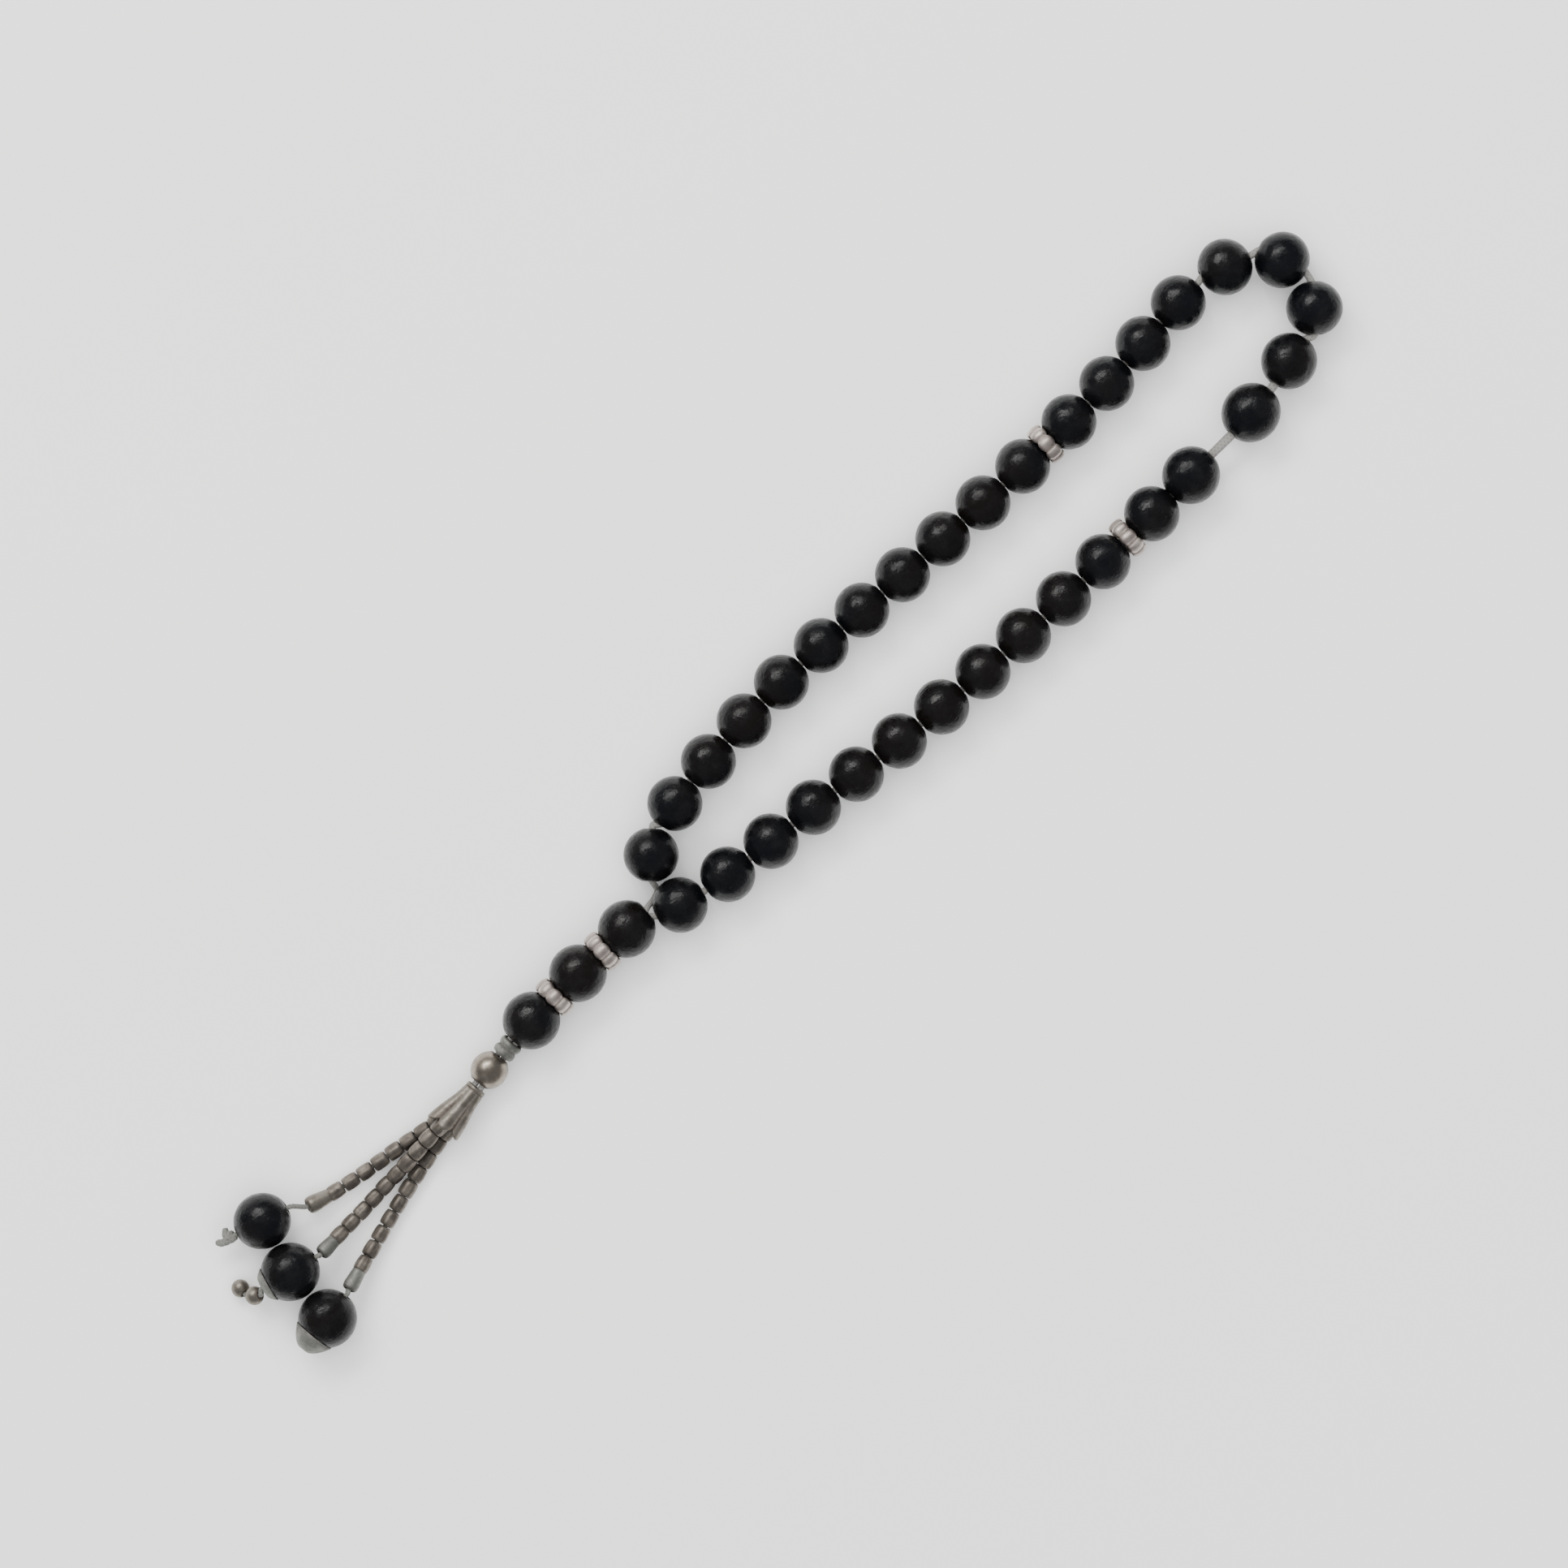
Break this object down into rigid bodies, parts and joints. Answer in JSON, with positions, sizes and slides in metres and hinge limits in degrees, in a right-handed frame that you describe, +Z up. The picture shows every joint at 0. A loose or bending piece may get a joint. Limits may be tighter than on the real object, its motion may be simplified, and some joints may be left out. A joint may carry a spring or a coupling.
{
  "type": "prayer beads",
  "caption": "Loop of round black prayer beads on a cord with silver dividers, a beaded leader and a three-strand tassel, laid flat.",
  "frame": {"origin": "Under the middle of the whole object as it lies, on the table it rests on.", "axes": "+X runs from the tassel to the tip of the loop, +Y across the loop to the row that has the first bead, +Z up from the table."},
  "size_m": [0.2134, 0.0278, 0.0083],
  "materials": {
    "bead": "polished near-black resin",
    "silver": "antiqued silver plate",
    "cord": "pale grey cord",
    "thread": "grey waxed thread"
  },
  "bodies": {
    "leader_bead_1": {"leader_bead_1": "bead", "cord": "cord"},
    "bead_01": {"bead_01": "bead"},
    "bead_02": {"bead_02": "bead"},
    "bead_03": {"bead_03": "bead"},
    "bead_04": {"bead_04": "bead"},
    "bead_05": {"bead_05": "bead"},
    "bead_06": {"bead_06": "bead"},
    "bead_07": {"bead_07": "bead"},
    "bead_08": {"bead_08": "bead"},
    "bead_09": {"bead_09": "bead"},
    "bead_10": {"bead_10": "bead"},
    "bead_11": {"bead_11": "bead"},
    "divider_left": {"divider_left": "silver"},
    "bead_12": {"bead_12": "bead"},
    "bead_13": {"bead_13": "bead"},
    "bead_14": {"bead_14": "bead"},
    "bead_15": {"bead_15": "bead"},
    "bead_16": {"bead_16": "bead"},
    "bead_17": {"bead_17": "bead"},
    "bead_33": {"bead_33": "bead"},
    "bead_32": {"bead_32": "bead"},
    "bead_31": {"bead_31": "bead"},
    "bead_30": {"bead_30": "bead"},
    "bead_29": {"bead_29": "bead"},
    "bead_28": {"bead_28": "bead"},
    "bead_27": {"bead_27": "bead"},
    "bead_26": {"bead_26": "bead"},
    "bead_25": {"bead_25": "bead"},
    "bead_24": {"bead_24": "bead"},
    "bead_23": {"bead_23": "bead"},
    "divider_right": {"divider_right": "silver"},
    "bead_22": {"bead_22": "bead"},
    "bead_21": {"bead_21": "bead"},
    "bead_19": {"bead_19": "bead"},
    "bead_18": {"bead_18": "bead"},
    "bead_20": {"bead_20": "bead"},
    "leader_bead_2": {"leader_bead_2": "bead", "leader_spacer_1": "silver"},
    "leader_bead_3": {"leader_bead_3": "bead", "leader_spacer_2": "silver"},
    "stop_ball": {"stop_ball": "silver", "collar_bead": "silver"},
    "tassel_cone": {"tassel_cone": "silver", "tassel_knot": "cord"},
    "tassel_strand_1": {"tassel_strand_1": "silver", "tassel_thread_1": "thread"},
    "end_bead_1": {"end_bead_1": "bead"},
    "tassel_strand_2": {"tassel_strand_2": "silver", "tassel_thread_2": "thread", "end_ball_1": "silver", "end_ball_2": "silver"},
    "end_bead_2": {"end_bead_2": "bead", "end_cap_2": "silver"},
    "tassel_strand_3": {"tassel_strand_3": "silver", "tassel_thread_3": "thread"},
    "end_bead_3": {"end_bead_3": "bead", "end_cap_3": "silver"}
  },
  "joints": [
    {"name": "bead_01_follow", "type": "hinge", "parent": "leader_bead_1", "child": "bead_01", "pos_m": [-0.02533, 0.00277, 0.00395], "axis": [0, 0, 1], "range_deg": [-0.67, 1.68]},
    {"name": "bead_02_follow", "type": "hinge", "parent": "leader_bead_1", "child": "bead_02", "pos_m": [-0.01969, 0.00547, 0.00395], "axis": [0, 0, 1], "range_deg": [-1.96, 4.9]},
    {"name": "bead_03_follow", "type": "hinge", "parent": "leader_bead_1", "child": "bead_03", "pos_m": [-0.0161, 0.00673, 0.00395], "axis": [0, 0, 1], "range_deg": [-2.99, 7.47]},
    {"name": "bead_04_follow", "type": "hinge", "parent": "leader_bead_1", "child": "bead_04", "pos_m": [-0.01327, 0.00745, 0.00395], "axis": [0, 0, 1], "range_deg": [-3.72, 9.31]},
    {"name": "bead_05_follow", "type": "hinge", "parent": "leader_bead_1", "child": "bead_05", "pos_m": [-0.01167, 0.00778, 0.00395], "axis": [0, 0, 1], "range_deg": [-4.06, 10.16]},
    {"name": "bead_06_follow", "type": "hinge", "parent": "leader_bead_1", "child": "bead_06", "pos_m": [-0.01247, 0.00764, 0.00395], "axis": [0, 0, 1], "range_deg": [-3.94, 9.84]},
    {"name": "bead_07_follow", "type": "hinge", "parent": "leader_bead_1", "child": "bead_07", "pos_m": [-0.01866, 0.00677, 0.00395], "axis": [0, 0, 1], "range_deg": [-3.33, 8.31]},
    {"name": "loop_spread", "type": "slide", "parent": "leader_bead_1", "child": "bead_08", "axis": [-0.1143, 0.9934, 0], "range_m": [-0.00292, 0.0073], "deforming": ["cord"]},
    {"name": "bead_09_follow", "type": "hinge", "parent": "leader_bead_1", "child": "bead_09", "pos_m": [-0.16904, -0.00998, 0.00395], "axis": [0, 0, 1], "range_deg": [-0.85, 2.13]},
    {"name": "bead_10_follow", "type": "hinge", "parent": "leader_bead_1", "child": "bead_10", "pos_m": [0.28818, 0.03789, 0.00395], "axis": [0, 0, -1], "range_deg": [-0.74, 1.85]},
    {"name": "bead_11_follow", "type": "hinge", "parent": "leader_bead_1", "child": "bead_11", "pos_m": [0.12761, 0.02026, 0.00395], "axis": [0, 0, -1], "range_deg": [-2.31, 5.77]},
    {"name": "divider_left_follow", "type": "hinge", "parent": "leader_bead_1", "child": "divider_left", "pos_m": [0.10923, 0.01796, 0.00395], "axis": [0, 0, -1], "range_deg": [-3.13, 7.81]},
    {"name": "bead_12_follow", "type": "hinge", "parent": "leader_bead_1", "child": "bead_12", "pos_m": [0.10078, 0.01673, 0.00395], "axis": [0, 0, -1], "range_deg": [-3.81, 9.52]},
    {"name": "bead_13_follow", "type": "hinge", "parent": "leader_bead_1", "child": "bead_13", "pos_m": [0.09554, 0.01576, 0.00395], "axis": [0, 0, -1], "range_deg": [-4.53, 11.33]},
    {"name": "bead_14_follow", "type": "hinge", "parent": "leader_bead_1", "child": "bead_14", "pos_m": [0.09515, 0.01565, 0.00395], "axis": [0, 0, -1], "range_deg": [-4.62, 11.56]},
    {"name": "bead_15_follow", "type": "hinge", "parent": "leader_bead_1", "child": "bead_15", "pos_m": [0.09686, 0.01647, 0.00395], "axis": [0, 0, -1], "range_deg": [-4.04, 10.1]},
    {"name": "bead_16_follow", "type": "hinge", "parent": "leader_bead_1", "child": "bead_16", "pos_m": [0.09958, 0.02003, 0.00405], "axis": [0, 0, -1], "range_deg": [-2.72, 6.8]},
    {"name": "bead_17_follow", "type": "hinge", "parent": "leader_bead_1", "child": "bead_17", "pos_m": [0.10167, 0.04672, 0.00405], "axis": [0, 0, -1], "range_deg": [-0.95, 2.37]},
    {"name": "bead_33_follow", "type": "hinge", "parent": "leader_bead_1", "child": "bead_33", "pos_m": [-0.02633, -0.00121, 0.004], "axis": [0, 0, -1], "range_deg": [-0.93, 2.32]},
    {"name": "bead_32_follow", "type": "hinge", "parent": "leader_bead_1", "child": "bead_32", "pos_m": [-0.02129, -0.00275, 0.004], "axis": [0, 0, -1], "range_deg": [-2.64, 6.59]},
    {"name": "bead_31_follow", "type": "hinge", "parent": "leader_bead_1", "child": "bead_31", "pos_m": [-0.01798, -0.00356, 0.004], "axis": [0, 0, -1], "range_deg": [-3.87, 9.66]},
    {"name": "bead_30_follow", "type": "hinge", "parent": "leader_bead_1", "child": "bead_30", "pos_m": [-0.01591, -0.00401, 0.004], "axis": [0, 0, -1], "range_deg": [-4.5, 11.25]},
    {"name": "bead_29_follow", "type": "hinge", "parent": "leader_bead_1", "child": "bead_29", "pos_m": [-0.01608, -0.00397, 0.004], "axis": [0, 0, -1], "range_deg": [-4.46, 11.15]},
    {"name": "bead_28_follow", "type": "hinge", "parent": "leader_bead_1", "child": "bead_28", "pos_m": [-0.02114, -0.00288, 0.004], "axis": [0, 0, -1], "range_deg": [-3.77, 9.44]},
    {"name": "bead_27_follow", "type": "hinge", "parent": "leader_bead_1", "child": "bead_27", "pos_m": [-0.04008, 0.00111, 0.004], "axis": [0, 0, -1], "range_deg": [-2.57, 6.43]},
    {"name": "bead_26_follow", "type": "hinge", "parent": "leader_bead_1", "child": "bead_26", "pos_m": [-0.13775, 0.02089, 0.004], "axis": [0, 0, -1], "range_deg": [-1.05, 2.62]},
    {"name": "bead_25_follow", "type": "hinge", "parent": "leader_bead_1", "child": "bead_25", "pos_m": [0.34967, -0.07511, 0.004], "axis": [0, 0, 1], "range_deg": [-0.57, 1.43]},
    {"name": "bead_24_follow", "type": "hinge", "parent": "leader_bead_1", "child": "bead_24", "pos_m": [0.12747, -0.0304, 0.004], "axis": [0, 0, 1], "range_deg": [-2.06, 5.15]},
    {"name": "bead_23_follow", "type": "hinge", "parent": "leader_bead_1", "child": "bead_23", "pos_m": [0.09941, -0.02414, 0.004], "axis": [0, 0, 1], "range_deg": [-3.22, 8.06]},
    {"name": "divider_right_follow", "type": "hinge", "parent": "leader_bead_1", "child": "divider_right", "pos_m": [0.09345, -0.02256, 0.004], "axis": [0, 0, 1], "range_deg": [-3.74, 9.34]},
    {"name": "bead_22_follow", "type": "hinge", "parent": "leader_bead_1", "child": "bead_22", "pos_m": [0.09089, -0.02176, 0.004], "axis": [0, 0, 1], "range_deg": [-4.05, 10.13]},
    {"name": "bead_21_follow", "type": "hinge", "parent": "leader_bead_1", "child": "bead_21", "pos_m": [0.09039, -0.02154, 0.0041], "axis": [0, 0, 1], "range_deg": [-4.14, 10.35]},
    {"name": "bead_19_follow", "type": "hinge", "parent": "leader_bead_1", "child": "bead_19", "pos_m": [0.09738, -0.03342, 0.004], "axis": [0, 0, 1], "range_deg": [-2.08, 5.2]},
    {"name": "bead_18_follow", "type": "hinge", "parent": "leader_bead_1", "child": "bead_18", "pos_m": [0.1002, -0.0865, 0.00405], "axis": [0, 0, 1], "range_deg": [-0.7, 1.76]},
    {"name": "bead_20_count", "type": "slide", "parent": "bead_21", "child": "bead_20", "axis": [-0.9994, -0.0343, 0], "range_m": [-0.0008, 0.0039]},
    {"name": "leader_swing_1", "type": "hinge", "parent": "leader_bead_1", "child": "leader_bead_2", "pos_m": [-0.03023, 0.00022, 0.0041], "axis": [0, 0, 1], "range_deg": [-10, 10], "deforming": ["cord"]},
    {"name": "leader_swing_2", "type": "hinge", "parent": "leader_bead_2", "child": "leader_bead_3", "pos_m": [-0.03958, 0.00057, 0.0041], "axis": [0, 0, 1], "range_deg": [-10, 10], "deforming": ["cord"]},
    {"name": "stop_ball_swing", "type": "hinge", "parent": "leader_bead_3", "child": "stop_ball", "pos_m": [-0.04898, 0.00037, 0.0041], "axis": [0, 0, 1], "range_deg": [-15, 15], "deforming": ["cord"]},
    {"name": "cone_swing", "type": "hinge", "parent": "stop_ball", "child": "tassel_cone", "pos_m": [-0.05823, -0.00048, 0.00272], "axis": [0, 0, 1], "range_deg": [-20, 20], "deforming": ["cord"]},
    {"name": "strand_swing_1", "type": "hinge", "parent": "tassel_cone", "child": "tassel_strand_1", "pos_m": [-0.06763, -0.00053, 0.0025], "axis": [0, 0, -1], "range_deg": [0, 22]},
    {"name": "end_bead_1_spin", "type": "hinge", "parent": "tassel_strand_1", "child": "end_bead_1", "pos_m": [-0.09618, 0.00669, 0.004], "axis": [0.9563, -0.2924, 0], "continuous": true},
    {"name": "strand_lift_2", "type": "hinge", "parent": "tassel_cone", "child": "tassel_strand_2", "pos_m": [-0.06763, -0.00153, 0.0038], "axis": [0.0091, 1, 0], "range_deg": [0, 30]},
    {"name": "end_bead_2_spin", "type": "hinge", "parent": "tassel_strand_2", "child": "end_bead_2", "pos_m": [-0.09835, -0.00125, 0.00415], "axis": [0.9703, -0.2419, 0], "continuous": true},
    {"name": "strand_swing_3", "type": "hinge", "parent": "tassel_cone", "child": "tassel_strand_3", "pos_m": [-0.06763, -0.00243, 0.0025], "axis": [0, 0, 1], "range_deg": [0, 22]},
    {"name": "end_bead_3_spin", "type": "hinge", "parent": "tassel_strand_3", "child": "end_bead_3", "pos_m": [-0.09918, -0.00968, 0.00415], "axis": [0.9925, 0.1219, 0], "continuous": true}
  ],
  "couplings": [
    {"joint": "bead_01_follow", "follows": "loop_spread", "rad_per_m": 4.0286},
    {"joint": "bead_02_follow", "follows": "loop_spread", "rad_per_m": 11.713},
    {"joint": "bead_03_follow", "follows": "loop_spread", "rad_per_m": 17.882},
    {"joint": "bead_04_follow", "follows": "loop_spread", "rad_per_m": 22.271},
    {"joint": "bead_05_follow", "follows": "loop_spread", "rad_per_m": 24.294},
    {"joint": "bead_06_follow", "follows": "loop_spread", "rad_per_m": 23.548},
    {"joint": "bead_07_follow", "follows": "loop_spread", "rad_per_m": 19.888},
    {"joint": "bead_09_follow", "follows": "loop_spread", "rad_per_m": 5.0906},
    {"joint": "bead_10_follow", "follows": "loop_spread", "rad_per_m": 4.4375},
    {"joint": "bead_11_follow", "follows": "loop_spread", "rad_per_m": 13.795},
    {"joint": "divider_left_follow", "follows": "loop_spread", "rad_per_m": 18.693},
    {"joint": "bead_12_follow", "follows": "loop_spread", "rad_per_m": 22.764},
    {"joint": "bead_13_follow", "follows": "loop_spread", "rad_per_m": 27.104},
    {"joint": "bead_14_follow", "follows": "loop_spread", "rad_per_m": 27.643},
    {"joint": "bead_15_follow", "follows": "loop_spread", "rad_per_m": 24.15},
    {"joint": "bead_16_follow", "follows": "loop_spread", "rad_per_m": 16.259},
    {"joint": "bead_17_follow", "follows": "loop_spread", "rad_per_m": 5.6706},
    {"joint": "bead_33_follow", "follows": "loop_spread", "rad_per_m": 5.5601},
    {"joint": "bead_32_follow", "follows": "loop_spread", "rad_per_m": 15.771},
    {"joint": "bead_31_follow", "follows": "loop_spread", "rad_per_m": 23.116},
    {"joint": "bead_30_follow", "follows": "loop_spread", "rad_per_m": 26.902},
    {"joint": "bead_29_follow", "follows": "loop_spread", "rad_per_m": 26.667},
    {"joint": "bead_28_follow", "follows": "loop_spread", "rad_per_m": 22.576},
    {"joint": "bead_27_follow", "follows": "loop_spread", "rad_per_m": 15.379},
    {"joint": "bead_26_follow", "follows": "loop_spread", "rad_per_m": 6.2565},
    {"joint": "bead_25_follow", "follows": "loop_spread", "rad_per_m": 3.4191},
    {"joint": "bead_24_follow", "follows": "loop_spread", "rad_per_m": 12.319},
    {"joint": "bead_23_follow", "follows": "loop_spread", "rad_per_m": 19.281},
    {"joint": "divider_right_follow", "follows": "loop_spread", "rad_per_m": 22.343},
    {"joint": "bead_22_follow", "follows": "loop_spread", "rad_per_m": 24.239},
    {"joint": "bead_21_follow", "follows": "loop_spread", "rad_per_m": 24.764},
    {"joint": "bead_19_follow", "follows": "loop_spread", "rad_per_m": 12.445},
    {"joint": "bead_18_follow", "follows": "loop_spread", "rad_per_m": 4.2032}
  ]
}
